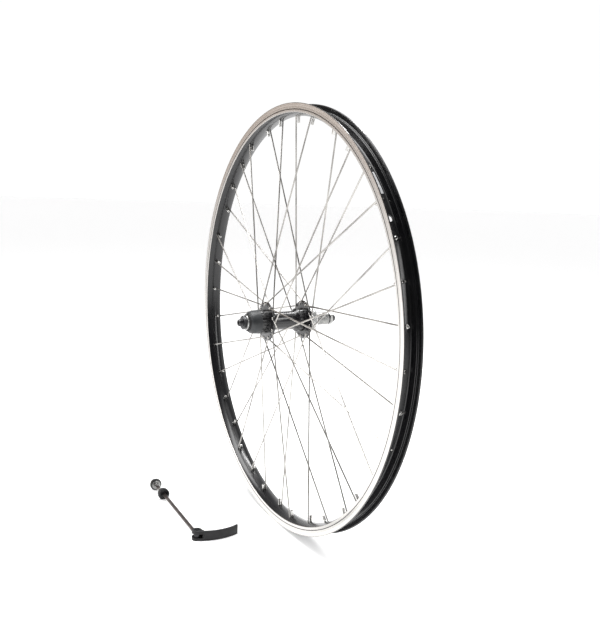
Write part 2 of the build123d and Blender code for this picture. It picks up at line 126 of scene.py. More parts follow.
def add_lamp(name, place, aim, size, power, colour=(1, 1, 1)):
    """A square or oblong soft lamp that faces a point."""
    bpy.ops.object.light_add(type="AREA", location=place)
    lamp = bpy.context.object
    lamp.name = name
    lamp.rotation_euler = (Vector(aim) - Vector(place)).to_track_quat("-Z", "Y").to_euler()
    lamp.data.shape = "RECTANGLE"
    lamp.data.size = size[0]
    lamp.data.size_y = size[1]
    lamp.data.energy = power
    lamp.data.color = colour


build_room()
clear_selection()
bpy.ops.mesh.primitive_plane_add(size=floor_span, location=(0, 0, floor_height))
floor = bpy.context.object
floor.name = "floor"
floor_material = bpy.data.materials.new("floor_white")
tree = new_tree(floor_material)
mottle = add_node(tree, "TexNoise", {"Scale": 3.0, "Detail": 3.0}).outputs["Fac"]
paint = blend_colour(tree, mottle, (0.80, 0.80, 0.80), (0.84, 0.84, 0.84))
shader = add_node(tree, "BsdfPrincipled", {"Base Color": paint, "Roughness": 0.7,
                                           "Specular IOR Level": 0.15,
                                           "Emission Color": (1, 1, 1, 1), "Emission Strength": 0.45})
output = add_node(tree, "OutputMaterial")
tree.links.new(shader.outputs[0], output.inputs["Surface"])
floor.data.materials.append(floor_material)

add_lamp("lamp_overhead", (-0.35, -0.25, 1.7), (0.0, 0.0, 0.0), (1.3, 1.3), 34)
add_lamp("lamp_left", (-1.2, -2.0, 1.1), (0.0, 0.0, 0.0), (1.0, 1.6), 30)
add_lamp("lamp_right", (1.9, 1.3, 0.9), (0.0, 0.0, 0.0), (0.35, 1.6), 10)
add_lamp("lamp_strip", (-0.5, 0.65, 1.2), (0.0, 0.0, 0.0), (0.10, 0.9), 8)
bpy.ops.object.light_add(type="SUN", location=(0, 0, 3))
sky_lamp = bpy.context.object
sky_lamp.name = "lamp_ceiling"
sky_lamp.data.energy = 1.1
sky_lamp.data.angle = math.radians(70)

bpy.ops.object.camera_add(location=camera_place)
camera = bpy.context.object
camera.rotation_mode = "QUATERNION"
camera.rotation_quaternion = camera_forward.to_track_quat("-Z", "Y") @ Quaternion((0, 0, 1), camera_roll)
camera.data.lens = camera_lens
camera.data.sensor_width = 36.0
camera.data.clip_start = 0.01
bpy.context.scene.camera = camera
bpy.context.scene.view_settings.view_transform = "Standard"

# ---- Rim ----------------------------------------------------------------------------------
# A single-wall rim, rolled from a black anodised aluminium extrusion.  Its two brake tracks are
# machined bare after anodising, so each wear groove stays black.  A hole is drilled for every
# nipple along its spoke's line, with a spot face for its head, and one for the valve.
rim_low, rim_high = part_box("rim")
rim_radius = rim_high.z
rim_half_width = rim_high.y
track_height = 11.9 * mm
track_inner_half = 11.65 * mm
wear_groove_radius = rim_radius - 8.1 * mm
wear_groove_half = 0.55 * mm
wear_groove_depth = 0.4 * mm
side_wall = 1.5 * mm
bead_seat_radius = rim_radius - 6.5 * mm
well_radius = rim_radius - 13.4 * mm
half_well = 6.3 * mm
bed_thickness = 2.4 * mm
crown_radius = well_radius - bed_thickness
valve_angle = math.radians(33.0)
valve_hole_radius = 4.25 * mm
spoke_count = 36
hole_pitch = math.tau / spoke_count
first_nipple_angle = valve_angle - hole_pitch / 2
rim_steps = 432


def open_bsdf(name, **sockets):
    """A new material: its node tree, its shader and the shader's constant settings."""
    material = bpy.data.materials.new(name)
    tree = new_tree(material)
    shader = add_node(tree, "BsdfPrincipled", {key.replace("_", " "): value for key, value in sockets.items()})
    output = add_node(tree, "OutputMaterial")
    tree.links.new(shader.outputs[0], output.inputs["Surface"])
    return material, tree, shader


def lathe_lines(tree, scale, detail=4.0):
    """Fine rings round the axle, as a lathe or a milling pass leaves them."""
    place = add_node(tree, "TexCoord").outputs["Object"]
    flat = add_node(tree, "VectorMath", {0: place, 1: (1, 0, 1)}, operation="MULTIPLY").outputs["Vector"]
    radius = add_node(tree, "VectorMath", {0: flat}, operation="LENGTH").outputs["Value"]
    along = add_node(tree, "SeparateXYZ", {"Vector": place}).outputs["Y"]
    distance = add_node(tree, "Math", {0: radius, 1: along}, operation="ADD").outputs["Value"]
    return add_node(tree, "TexNoise", {"W": distance, "Scale": scale, "Detail": detail},
                    noise_dimensions="1D").outputs["Fac"]


def grain(tree, scale, detail=5.0, stretch=(1, 1, 1)):
    """Even grain in all directions, or drawn out along one of them."""
    place = add_node(tree, "TexCoord").outputs["Object"]
    turned = add_node(tree, "Mapping", {"Vector": place, "Scale": stretch}).outputs["Vector"]
    return add_node(tree, "TexNoise", {"Vector": turned, "Scale": scale, "Detail": detail}).outputs["Fac"]


def surface(name, dark, light, rough, fine, coarse, relief, **sockets):
    """A finish whose colour and gloss follow a coarse pattern and whose relief follows a fine one.
    fine and coarse are functions that add their pattern to the material's node tree."""
    material, tree, shader = open_bsdf(name, **sockets)
    broad = coarse(tree)
    small = fine(tree)
    tree.links.new(blend_colour(tree, share(tree, broad, 0.3, 0.7), dark, light), shader.inputs["Base Color"])
    tree.links.new(share(tree, small, 0.3, 0.7, rough[0], rough[1]), shader.inputs["Roughness"])
    bump = add_node(tree, "Bump", {"Height": small, "Distance": relief, "Strength": 1.0})
    tree.links.new(bump.outputs["Normal"], shader.inputs["Normal"])
    return material


def rounded(corners):
    """An outline with its corners eased.  A corner is (radius, along, easing distance)."""
    points = []
    count = len(corners)
    for index, corner in enumerate(corners):
        here = Vector(corner[:2])
        ease = corner[2] if len(corner) > 2 else 0
        if not ease:
            points.append(here)
            continue
        before = Vector(corners[index - 1][:2]) - here
        after = Vector(corners[(index + 1) % count][:2]) - here
        first = here + before.normalized() * ease
        last = here + after.normalized() * ease
        for step in range(4):
            t = step / 3
            points.append(first * (1 - t) ** 2 + here * 2 * t * (1 - t) + last * t ** 2)
    return points


def turned(name, corners, steps=96, axis=(0, 1, 0)):
    """A turned piece: a closed outline of (radius, along) is drawn point by point and spun."""
    outline = rounded(corners)
    clear_selection()
    bpy.ops.mesh.primitive_plane_add(size=mm)
    piece = bpy.context.object
    piece.name = name
    bpy.ops.object.mode_set(mode="EDIT")
    bpy.ops.mesh.select_all(action="SELECT")
    bpy.ops.mesh.merge(type="CENTER")
    across = Vector((0, 1, 0)) if abs(axis[0]) > 0.5 else Vector((1, 0, 0))
    lengthwise = Vector(axis)
    places = [across * point[0] + lengthwise * point[1] for point in outline]
    bpy.ops.transform.translate(value=places[0])
    for start, end in zip(places, places[1:]):
        bpy.ops.mesh.extrude_vertices_move(TRANSFORM_OT_translate={"value": end - start})
    bpy.ops.object.mode_set(mode="OBJECT")
    ends = (0, len(outline) - 1)
    for vertex in piece.data.vertices:
        vertex.select = vertex.index in ends
    bpy.ops.object.mode_set(mode="EDIT")
    bpy.ops.mesh.edge_face_add()
    bpy.ops.mesh.select_all(action="SELECT")
    bpy.ops.mesh.spin(steps=steps, angle=math.tau, center=(0, 0, 0), axis=axis)
    bpy.ops.mesh.select_all(action="SELECT")
    bpy.ops.mesh.remove_doubles(threshold=0.5e-6)
    bpy.ops.mesh.normals_make_consistent(inside=False)
    bpy.ops.object.mode_set(mode="OBJECT")
    return piece


def copied(piece, matrix):
    """A copy of a piece with a mesh of its own, moved by a matrix."""
    clear_selection()
    piece.select_set(True)
    bpy.context.view_layer.objects.active = piece
    bpy.ops.object.duplicate()
    copy = bpy.context.object
    copy.matrix_world = matrix @ copy.matrix_world
    return copy


def joined(name, pieces):
    """Several loose pieces as one object, with its place in its mesh."""
    clear_selection()
    for piece in pieces:
        piece.select_set(True)
    bpy.context.view_layer.objects.active = pieces[0]
    if len(pieces) > 1:
        bpy.ops.object.join()
    bpy.ops.object.transform_apply(location=True, rotation=True, scale=True)
    whole = bpy.context.object
    whole.name = name
    return whole


def combined(piece, other, operation="DIFFERENCE"):
    """The piece cut by, cut to or fused with another, which is used up."""
    clear_selection()
    piece.select_set(True)
    bpy.context.view_layer.objects.active = piece
    modifier = piece.modifiers.new("cut", "BOOLEAN")
    modifier.operation = operation
    modifier.object = other
    modifier.solver = "EXACT"
    bpy.ops.object.modifier_apply(modifier=modifier.name)
    bpy.data.objects.remove(other)
    return piece


def fitted(piece, materials, slot, body, *nodes, smooth=35):
    """The piece's shading, finish, place in the frame and the CAD nodes that it stands for."""
    clear_selection()
    piece.select_set(True)
    bpy.context.view_layer.objects.active = piece
    bpy.ops.object.shade_smooth_by_angle(angle=math.radians(smooth))
    if not piece.data.materials:
        for material in materials:
            piece.data.materials.append(material)
    piece.name = nodes[0] + "_finished"
    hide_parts(*nodes)
    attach(piece, body)


def assign_faces(piece, index, wanted):
    """Give the faces that a test picks, by their middle and their normal, another material."""
    for polygon in piece.data.polygons:
        if wanted(polygon.center, polygon.normal):
            polygon.material_index = index


def polar(radius, angle, along):
    """The point at a radius and an angle about the axle, at a place along it."""
    return Vector((radius * math.cos(angle), along, radius * math.sin(angle)))


def round_track(radius):
    """Half the rim's width at a radius on its brake tracks."""
    part = (radius - (rim_radius - track_height)) / track_height
    return track_inner_half + part * (rim_half_width - track_inner_half)


# where each spoke runs: every second nipple belongs to the right flange, and on each flange
# every second spoke leads
left_flange_y = -32.0 * mm
right_flange_y = 23.5 * mm
half_flange = 1.5 * mm
elbow_offset = 1.6 * mm
spoke_circle_radius = 22.5 * mm
nipple_offset = 1.5 * mm
spot_face_depth = 0.5 * mm
spoke_crossings = 3
cross_angle = spoke_crossings * 2 * hole_pitch
spokes = []
for index in range(spoke_count):
    side = 1 if index % 2 == 0 else -1
    turn = -side if (index // 2) % 2 == 0 else side
    angle = first_nipple_angle + index * hole_pitch
    flange_y = right_flange_y if side > 0 else left_flange_y
    hole_angle = angle + turn * cross_angle
    elbow = polar(spoke_circle_radius, hole_angle, flange_y + turn * (half_flange + elbow_offset))
    seat = polar(well_radius - spot_face_depth, angle, side * nipple_offset)
    spokes.append({"side": side, "turn": turn, "angle": angle, "hole_angle": hole_angle,
                   "elbow": elbow, "seat": seat, "outward": (seat - elbow).normalized(),
                   "head": polar(spoke_circle_radius, hole_angle, flange_y - turn * half_flange)})


def at_seat(spoke):
    """The matrix that carries a nipple's own frame, along +Z, to its seat in the rim."""
    return Matrix.Translation(spoke["seat"]) @ spoke["outward"].to_track_quat("Z", "Y").to_matrix().to_4x4()


track_inner_radius = rim_radius - track_height
inner_wall = rim_half_width - side_wall
shoulder = inner_wall - 2.6 * mm
groove_low = wear_groove_radius - wear_groove_half
groove_high = wear_groove_radius + wear_groove_half
crown_points = 9
crown_rise = track_inner_radius - crown_radius
half_rim = []
for step in range(1, crown_points):
    part = step / crown_points
    half_rim.append((crown_radius + crown_rise * part ** 2, track_inner_half * part))
half_rim += [(track_inner_radius, track_inner_half, 0.35 * mm),
             (groove_low, round_track(groove_low)),
             (groove_low + 0.2 * mm, round_track(groove_low) - wear_groove_depth),
             (groove_high - 0.2 * mm, round_track(groove_low) - wear_groove_depth),
             (groove_high, round_track(groove_high)),
             (rim_radius, rim_half_width, 0.5 * mm),
             (rim_radius, inner_wall + 0.1 * mm, 0.4 * mm),
             (rim_radius - 1.2 * mm, inner_wall - 0.65 * mm, 0.4 * mm),
             (rim_radius - 3.0 * mm, inner_wall, 0.5 * mm),
             (bead_seat_radius, inner_wall, 0.8 * mm),
             (bead_seat_radius, shoulder, 0.6 * mm),
             (well_radius, half_well, 1.2 * mm)]
outline = [(crown_radius, 0.0)] + half_rim + [(well_radius, 0.0)]
outline += [(corner[0], -corner[1], *corner[2:]) for corner in reversed(half_rim)]
rim = turned("rim", outline, rim_steps)

machined_track, tree, shader = open_bsdf("machined_track", Metallic=1.0, Anisotropic=0.35)
fine_lines = lathe_lines(tree, 1400.0, 2.0)
broad_lines = lathe_lines(tree, 420.0, 2.0)
bright = blend_colour(tree, share(tree, broad_lines, 0.35, 0.65), (0.60, 0.58, 0.555), (0.72, 0.705, 0.685))
tree.links.new(bright, shader.inputs["Base Color"])
tree.links.new(share(tree, fine_lines, 0.3, 0.7, 0.26, 0.32), shader.inputs["Roughness"])
lathe_relief = add_node(tree, "Bump", {"Height": fine_lines, "Distance": 0.0006 * mm, "Strength": 1.0})
tree.links.new(lathe_relief.outputs["Normal"], shader.inputs["Normal"])
tangent = add_node(tree, "Tangent", direction_type="RADIAL", axis="Y")
tree.links.new(tangent.outputs["Tangent"], shader.inputs["Tangent"])

black_anodised = surface("black_anodised_rim", (0.005, 0.005, 0.006), (0.011, 0.011, 0.012), (0.18, 0.23),
                         lambda tree: lathe_lines(tree, 900.0, 2.0), lambda tree: grain(tree, 9.0),
                         0.0015 * mm, Metallic=0.0, Specular_IOR_Level=0.55)
rim.data.materials.append(black_anodised)
rim.data.materials.append(machined_track)


def on_track(middle, normal):
    """A face of the flat brake tracks, and not of their wear grooves."""
    reach = math.hypot(middle.x, middle.z)
    in_groove = groove_low < reach < groove_high
    flat = track_inner_radius < reach < rim_radius - 0.7 * mm
    return abs(normal.y) > 0.7 and flat and abs(middle.y) > inner_wall and not in_groove


assign_faces(rim, 1, on_track)
drill_corners = [(0, -6 * mm), (2.15 * mm, -6 * mm), (2.15 * mm, 0), (2.95 * mm, 0), (2.95 * mm, 4 * mm), (0, 4 * mm)]
drill = turned("drill", drill_corners, 32, axis=(0, 0, 1))
holes = [copied(drill, at_seat(spoke)) for spoke in spokes]
bpy.data.objects.remove(drill)
valve_direction = polar(1, valve_angle, 0)
bpy.ops.mesh.primitive_cylinder_add(vertices=48, radius=valve_hole_radius, depth=12 * mm,
                                    location=valve_direction * well_radius,
                                    rotation=valve_direction.to_track_quat("Z", "Y").to_euler())
holes.append(bpy.context.object)
combined(rim, joined("rim_holes", holes))
fitted(rim, [], "rim_aluminium", "wheel", "rim", smooth=28)

# ---- Rim label ----------------------------------------------------------------------------
# A blank strip of silver foil, stuck in the rim's well between two spoke holes beside the valve.
label_length = 32.0 * mm
label_width = 7.6 * mm
label_thickness = 0.12 * mm
label_lift = 0.02 * mm
label_angle = valve_angle + 1.0 * hole_pitch
clear_selection()
bpy.ops.mesh.primitive_grid_add(x_subdivisions=24, y_subdivisions=4, size=1)
label = bpy.context.object
label.scale = (label_length, label_width, 1)
label = joined("rim_label", [label])
foil = label.modifiers.new("thickness", "SOLIDIFY")
foil.thickness = label_thickness
foil.offset = 1.0
bpy.ops.object.modifier_apply(modifier=foil.name)
for vertex in label.data.vertices:
    around = label_angle + vertex.co.x / well_radius
    vertex.co = polar(well_radius + label_lift + vertex.co.z, around, vertex.co.y)
clear_selection()
label.select_set(True)
bpy.ops.object.mode_set(mode="EDIT")
bpy.ops.mesh.select_all(action="SELECT")
bpy.ops.mesh.normals_make_consistent(inside=False)
bpy.ops.object.mode_set(mode="OBJECT")
silver_foil = surface("silver_foil", (0.62, 0.63, 0.64), (0.86, 0.87, 0.88), (0.30, 0.42),
                      lambda tree: grain(tree, 700.0), lambda tree: grain(tree, 160.0),
                      0.01 * mm, Metallic=0.15)
label.data.materials.append(silver_foil)
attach(label, "wheel")

# ---- Nipples ------------------------------------------------------------------------------
# Nickel-plated brass, 12 mm long.  A domed head with a screwdriver slot sits in the spot face,
# and below the rim the shank turns into a square for the spoke key.
nipple_head_radius = 2.7 * mm
nipple_head_height = 2.2 * mm
nipple_shank_radius = 1.95 * mm
nipple_shank_length = 10.5 * mm
nipple_square = 3.3 * mm
nipple_square_length = 7.0 * mm
spoke_radius = 1.0 * mm
nipple_corners = [(spoke_radius, -nipple_shank_length), (nipple_shank_radius, -nipple_shank_length, 0.5 * mm),
                  (nipple_shank_radius, 0), (nipple_head_radius, 0.0, 0.25 * mm),
                  (nipple_head_radius, 1.3 * mm, 0.6 * mm), (1.7 * mm, nipple_head_height, 0.4 * mm),
                  (spoke_radius, nipple_head_height)]
nipple = turned("nipple", nipple_corners, 24, axis=(0, 0, 1))
for flat_angle in (0, 90):
    for offset in (-1, 1):
        turn_matrix = Matrix.Rotation(math.radians(flat_angle), 4, "Z")
        place = turn_matrix @ Vector((offset * (nipple_square / 2 + 2 * mm), 0, nipple_square_length / 2 - nipple_shank_length))
        bpy.ops.mesh.primitive_cube_add(size=1, location=place, rotation=(0, 0, math.radians(flat_angle)))
        flat = bpy.context.object
        flat.scale = (4 * mm, 6 * mm, nipple_square_length + 0.02 * mm)
        combined(nipple, joined("nipple_flat", [flat]))
bpy.ops.mesh.primitive_cube_add(size=1, location=(0, 0, nipple_head_height))
driver_slot = bpy.context.object
driver_slot.scale = (8 * mm, 0.8 * mm, 1.6 * mm)
combined(nipple, joined("nipple_slot", [driver_slot]))

nickel = surface("bright_nickel", (0.46, 0.455, 0.44), (0.64, 0.63, 0.61), (0.14, 0.26),
                 lambda tree: grain(tree, 2600.0), lambda tree: grain(tree, 320.0), 0.004 * mm, Metallic=1.0)
for side, node_name in ((-1, "left_nipples"), (1, "right_nipples")):
    copies = []
    for index, spoke in enumerate(spokes):
        if spoke["side"] == side:
            spin_angle = math.radians(47.0 * index)
            copies.append(copied(nipple, at_seat(spoke) @ Matrix.Rotation(spin_angle, 4, "Z")))
    fitted(joined(node_name + "_set", copies), [nickel], "nipple_nickel", "wheel", node_name)
bpy.data.objects.remove(nipple)

# ---- Spokes -------------------------------------------------------------------------------
# Thirty-six 2 mm spokes of drawn stainless wire.  A cold-headed button holds each one in its
# flange, a J bend turns it towards the rim and its end is rolled with a thread for the nipple.
bend_radius = 2.0 * mm
spoke_sides = 14
button_radius = 1.9 * mm
button_height = 1.0 * mm

stainless = surface("drawn_stainless", (0.22, 0.212, 0.202), (0.50, 0.485, 0.46), (0.24, 0.34),
                    lambda tree: grain(tree, 900.0), lambda tree: grain(tree, 16.0), 0.002 * mm, Metallic=1.0)


def bent_spoke(spoke):
    """One spoke: its round section is drawn through the flange, round the bend and out to the rim."""
    inward = Vector((0, spoke["turn"], 0))
    outward = spoke["outward"]
    bend_angle = inward.angle(outward)
    setback = bend_radius * math.tan(bend_angle / 2)
    through = (spoke["elbow"] - spoke["head"]).length - setback
    straight = (spoke["seat"] - spoke["elbow"]).length - setback + nipple_head_height / 2
    hinge = inward.cross(outward).normalized()
    clear_selection()
    facing = inward.to_track_quat("Z", "Y").to_euler()
    bpy.ops.mesh.primitive_circle_add(vertices=spoke_sides, radius=spoke_radius, fill_type="NGON",
                                      location=spoke["head"], rotation=facing)
    wire = bpy.context.object
    bpy.ops.object.transform_apply(location=True, rotation=True, scale=True)
    bpy.ops.object.mode_set(mode="EDIT")
    bpy.ops.mesh.select_all(action="SELECT")
    bpy.ops.mesh.extrude_region_move(TRANSFORM_OT_translate={"value": inward * through})
    bend_start = spoke["head"] + inward * through
    to_centre = (outward - inward * inward.dot(outward)).normalized()
    bpy.ops.mesh.spin(steps=8, angle=bend_angle, center=bend_start + to_centre * bend_radius, axis=hinge)
    bpy.ops.mesh.extrude_region_move(TRANSFORM_OT_translate={"value": outward * straight})
    bpy.ops.mesh.select_all(action="SELECT")
    bpy.ops.mesh.normals_make_consistent(inside=False)
    bpy.ops.object.mode_set(mode="OBJECT")
    button_corners = [(0, 0.05 * mm), (spoke_radius, 0.05 * mm), (button_radius, 0, 0.2 * mm),
                      (1.3 * mm, -button_height, 0.4 * mm), (0, -button_height)]
    button = turned("button", button_corners, 18, axis=(0, 0, 1))
    button.matrix_world = Matrix.Translation(spoke["head"]) @ facing.to_matrix().to_4x4()
    return joined("spoke", [wire, button])


for side, side_name in ((-1, "left"), (1, "right")):
    for turn, turn_name in ((-1, "leading"), (1, "trailing")):
        family = [spoke for spoke in spokes if spoke["side"] == side and spoke["turn"] == turn]
        first = bent_spoke(family[0])
        members = [first]
        for spoke in family[1:]:
            members.append(copied(first, Matrix.Rotation(family[0]["angle"] - spoke["angle"], 4, "Y")))
        node_name = f"{side_name}_{turn_name}_spokes"
        fitted(joined(node_name + "_set", members), [stainless], "spoke_steel", "wheel", node_name)

# ---- Hub shell ----------------------------------------------------------------------------
# Turned and drilled from one aluminium bar: a fluted drum beside each scalloped flange, a waisted
# tube between them and a thread for the freewheel.  Gloss black, with the thread left bare.
hub_low, hub_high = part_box("hub_shell")
flange_radius = 26.4 * mm
flange_edge_half = 0.9 * mm
flange_taper = 2.2 * mm
drum_radius = 16.0 * mm
left_drum_end = left_flange_y - half_flange - 10.4 * mm
right_drum_end = right_flange_y - half_flange - 11.4 * mm
tube_radius = 12.6 * mm
tube_bore_radius = 10.0 * mm
nose_radius = 14.9 * mm
thread_radius = 17.45 * mm
thread_root = 0.55 * mm
thread_pitch = 1.058 * mm
cup_radius = 14.0 * mm
left_ball_y = -45.2 * mm
right_ball_y = 33.5 * mm
cup_inboard = 5.2 * mm
right_thread_start = right_flange_y + half_flange
right_shell_end = hub_high.y
left_shell_end = hub_low.y


def flange_corners(middle):
    """A flange's outline: flat faces that taper to a thin rounded edge."""
    low = middle - half_flange
    high = middle + half_flange
    taper_start = flange_radius - flange_taper
    return [(drum_radius, low, 0.5 * mm), (taper_start, low, 0.4 * mm),
            (flange_radius, middle - flange_edge_half, 0.5 * mm),
            (flange_radius, middle + flange_edge_half, 0.5 * mm), (taper_start, high, 0.4 * mm)]


hub_corners = [(cup_radius, left_shell_end, 0.2 * mm), (nose_radius, left_shell_end, 0.3 * mm),
               (nose_radius, left_drum_end - 0.2 * mm), (drum_radius - 0.3 * mm, left_drum_end - 0.2 * mm),
               (drum_radius, left_drum_end + 0.3 * mm)]
hub_corners += flange_corners(left_flange_y)
tube_start = left_flange_y + half_flange
hub_corners += [(tube_radius + 2.8 * mm, tube_start, 0.6 * mm), (tube_radius + 0.9 * mm, tube_start + 2.2 * mm, 1.2 * mm),
                (tube_radius, tube_start + 6.0 * mm, 2.0 * mm), (tube_radius - 0.25 * mm, -6 * mm),
                (tube_radius, right_drum_end - 3.5 * mm, 1.0 * mm), (drum_radius - 0.9 * mm, right_drum_end - 0.4 * mm, 0.5 * mm),
                (drum_radius, right_drum_end + 0.9 * mm, 0.5 * mm)]
hub_corners += flange_corners(right_flange_y)
hub_corners += [(thread_radius - thread_root, right_thread_start, 0.3 * mm)]
thread_turns = int((right_shell_end - right_thread_start - 2.6 * mm) / thread_pitch)
for ridge in range(thread_turns):
    base = right_thread_start + 1.4 * mm + ridge * thread_pitch
    hub_corners += [(thread_radius - thread_root, base), (thread_radius - 0.05 * mm, base + 0.4 * thread_pitch),
                    (thread_radius - 0.05 * mm, base + 0.6 * thread_pitch)]
hub_corners += [(thread_radius - thread_root, right_shell_end - 0.8 * mm, 0.3 * mm),
                (thread_radius - 1.3 * mm, right_shell_end, 0.2 * mm), (cup_radius, right_shell_end, 0.2 * mm),
                (cup_radius, right_ball_y - cup_inboard), (tube_bore_radius, right_ball_y - cup_inboard),
                (tube_bore_radius, left_ball_y + cup_inboard), (cup_radius, left_ball_y + cup_inboard)]
hub_shell = turned("hub_shell", hub_corners, 180)

gloss_black = surface("gloss_black_anodising", (0.006, 0.006, 0.007), (0.014, 0.014, 0.015), (0.12, 0.20),
                      lambda tree: lathe_lines(tree, 900.0), lambda tree: grain(tree, 60.0),
                      0.002 * mm, Metallic=0.0, Coat_Weight=0.25, Coat_Roughness=0.08, Specular_IOR_Level=0.6)
bare_thread = surface("bare_aluminium", (0.72, 0.72, 0.71), (0.88, 0.88, 0.87), (0.16, 0.28),
                      lambda tree: lathe_lines(tree, 2200.0), lambda tree: grain(tree, 120.0),
                      0.010 * mm, Metallic=1.0)
hub_shell.data.materials.append(gloss_black)
hub_shell.data.materials.append(bare_thread)
assign_faces(hub_shell, 1, lambda middle, normal: middle.y > right_thread_start + 0.2 * mm)


def along_axle(radius, start, end, vertices=24):
    """A straight cutter that lies along the axle's direction, its middle on the axle."""
    clear_selection()
    bpy.ops.mesh.primitive_cylinder_add(vertices=vertices, radius=radius, depth=end - start,
                                        location=(0, (start + end) / 2, 0), rotation=(math.pi / 2, 0, 0))
    return joined("cutter", [bpy.context.object])


def ring_of(cutter, radius, first_angle, count):
    """Copies of a cutter at even steps round the axle; the pattern piece is used up."""
    places = [polar(radius, first_angle + step * math.tau / count, 0) for step in range(count)]
    copies = [copied(cutter, Matrix.Translation(place)) for place in places]
    bpy.data.objects.remove(cutter)
    return copies


per_flange = spoke_count // 2
spoke_hole_radius = 1.3 * mm
scallop_radius = 2.6 * mm
scallop_depth = 1.2 * mm
flute_radius = 1.7 * mm
flute_depth = 0.7 * mm
for flange_y, start_angle in ((left_flange_y, first_nipple_angle + hole_pitch), (right_flange_y, first_nipple_angle)):
    hole_start = start_angle + cross_angle
    hole_pin = along_axle(spoke_hole_radius, flange_y - 2 * mm, flange_y + 2 * mm, 20)
    scallop_pin = along_axle(scallop_radius, flange_y - 2 * mm, flange_y + 2 * mm, 40)
    cutters = ring_of(hole_pin, spoke_circle_radius, hole_start, per_flange)
    cutters += ring_of(scallop_pin, flange_radius + scallop_radius - scallop_depth, hole_start + hole_pitch, per_flange)
    combined(hub_shell, joined("flange_cuts", cutters))
for start, end in ((left_drum_end - 1.0 * mm, left_flange_y - half_flange - 1.2 * mm),
                   (right_drum_end + 1.6 * mm, right_flange_y - half_flange - 1.2 * mm)):
    flute_pin = along_axle(flute_radius, start, end, 28)
    cutters = ring_of(flute_pin, drum_radius + flute_radius - flute_depth, valve_angle, per_flange)
    combined(hub_shell, joined("flutes", cutters))
fitted(hub_shell, [], "hub_anodised", "wheel", "hub_shell", smooth=32)

# ---- Bearings -----------------------------------------------------------------------------
# Loose balls between a pressed-in cup and a ground cone at each end, behind a steel dust shield.
# They keep the frame's own shapes and get their finishes here.
ground_steel = surface("ground_steel", (0.44, 0.44, 0.44), (0.60, 0.60, 0.59), (0.20, 0.34),
                       lambda tree: lathe_lines(tree, 3200.0), lambda tree: grain(tree, 150.0),
                       0.006 * mm, Metallic=1.0)
polished_steel = surface("polished_balls", (0.74, 0.74, 0.74), (0.84, 0.84, 0.84), (0.05, 0.10),
                         lambda tree: grain(tree, 900.0), lambda tree: grain(tree, 200.0),
                         0.001 * mm, Metallic=1.0)
pressed_steel = surface("pressed_shield", (0.20, 0.20, 0.20), (0.34, 0.34, 0.33), (0.32, 0.48),
                        lambda tree: lathe_lines(tree, 1800.0), lambda tree: grain(tree, 240.0),
                        0.012 * mm, Metallic=1.0)


def refinished(node_name, material):
    """A CAD node that keeps its shape and takes a finish."""
    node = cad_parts[node_name]
    for place in range(len(node.material_slots)):
        node.material_slots[place].material = material
    if not node.material_slots:
        node.data.materials.append(material)


for side_name in ("left", "right"):
    refinished(side_name + "_bearing_cup", ground_steel)
    refinished(side_name + "_cone", ground_steel)
    refinished(side_name + "_bearing_balls", polished_steel)
    refinished(side_name + "_dust_shield", pressed_steel)

# ---- Left end cap and seal ----------------------------------------------------------------
# A moulded grey nylon cover, pushed over the shell's left nose to keep grit off the bearing,
# with a black rubber lip seal against the washer.
cap_low, cap_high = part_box("left_end_cap")
cap_start = cap_low.y
cap_end = cap_high.y
cap_tip_radius = 12.3 * mm
cap_rim_radius = cap_high.x
cap_wall = 1.4 * mm
cap_hole = 7.8 * mm
cap_corners = [(cap_hole, cap_start, 0.2 * mm), (cap_hole, cap_start + cap_wall),
               (cap_tip_radius - cap_wall, cap_start + cap_wall, 0.4 * mm),
               (nose_radius - cap_wall, left_shell_end - 1.5 * mm), (nose_radius - cap_wall, left_shell_end),
               (nose_radius, left_shell_end), (nose_radius, cap_end),
               (cap_rim_radius - 0.3 * mm, cap_end), (cap_rim_radius, cap_end - 0.4 * mm),
               (cap_rim_radius, cap_end - 1.5 * mm, 0.2 * mm), (cap_rim_radius - 0.25 * mm, cap_end - 1.7 * mm, 0.1 * mm)]
dome_points = 9
for step in range(1, dome_points):
    part = step / dome_points
    reach = cap_tip_radius + 0.5 * mm + (cap_rim_radius - 0.25 * mm - cap_tip_radius - 0.5 * mm) * math.sqrt(1 - part ** 2)
    cap_corners.append((reach, cap_end - 1.7 * mm + (cap_start + 0.5 * mm - cap_end + 1.7 * mm) * part))
cap_corners += [(cap_tip_radius + 0.4 * mm, cap_start + 0.35 * mm, 0.2 * mm), (cap_tip_radius - 0.2 * mm, cap_start, 0.2 * mm)]
left_end_cap = turned("left_end_cap", cap_corners, 120)
grey_nylon = surface("moulded_grey_nylon", (0.022, 0.024, 0.026), (0.042, 0.045, 0.048), (0.36, 0.50),
                     lambda tree: grain(tree, 1500.0), lambda tree: grain(tree, 70.0),
                     0.03 * mm, Specular_IOR_Level=0.5)
fitted(left_end_cap, [grey_nylon], "end_cap_plastic", "wheel", "left_end_cap")

seal_low, seal_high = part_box("left_seal")
seal_radius = seal_high.x
seal_corners = [(cap_hole, seal_low.y, 0.2 * mm), (seal_radius - 1.2 * mm, seal_low.y, 0.15 * mm),
                (seal_radius - 1.0 * mm, seal_low.y + 0.25 * mm), (seal_radius - 0.3 * mm, seal_low.y + 0.1 * mm, 0.1 * mm),
                (seal_radius, seal_low.y + 0.5 * mm, 0.2 * mm), (seal_radius - 0.1 * mm, seal_high.y), (cap_hole, seal_high.y)]
left_seal = turned("left_seal", seal_corners, 72)
black_rubber = surface("black_rubber", (0.010, 0.010, 0.010), (0.020, 0.020, 0.021), (0.55, 0.75),
                       lambda tree: grain(tree, 2200.0), lambda tree: grain(tree, 180.0),
                       0.02 * mm, Specular_IOR_Level=0.4)
fitted(left_seal, [black_rubber], "seal_rubber", "wheel", "left_seal")

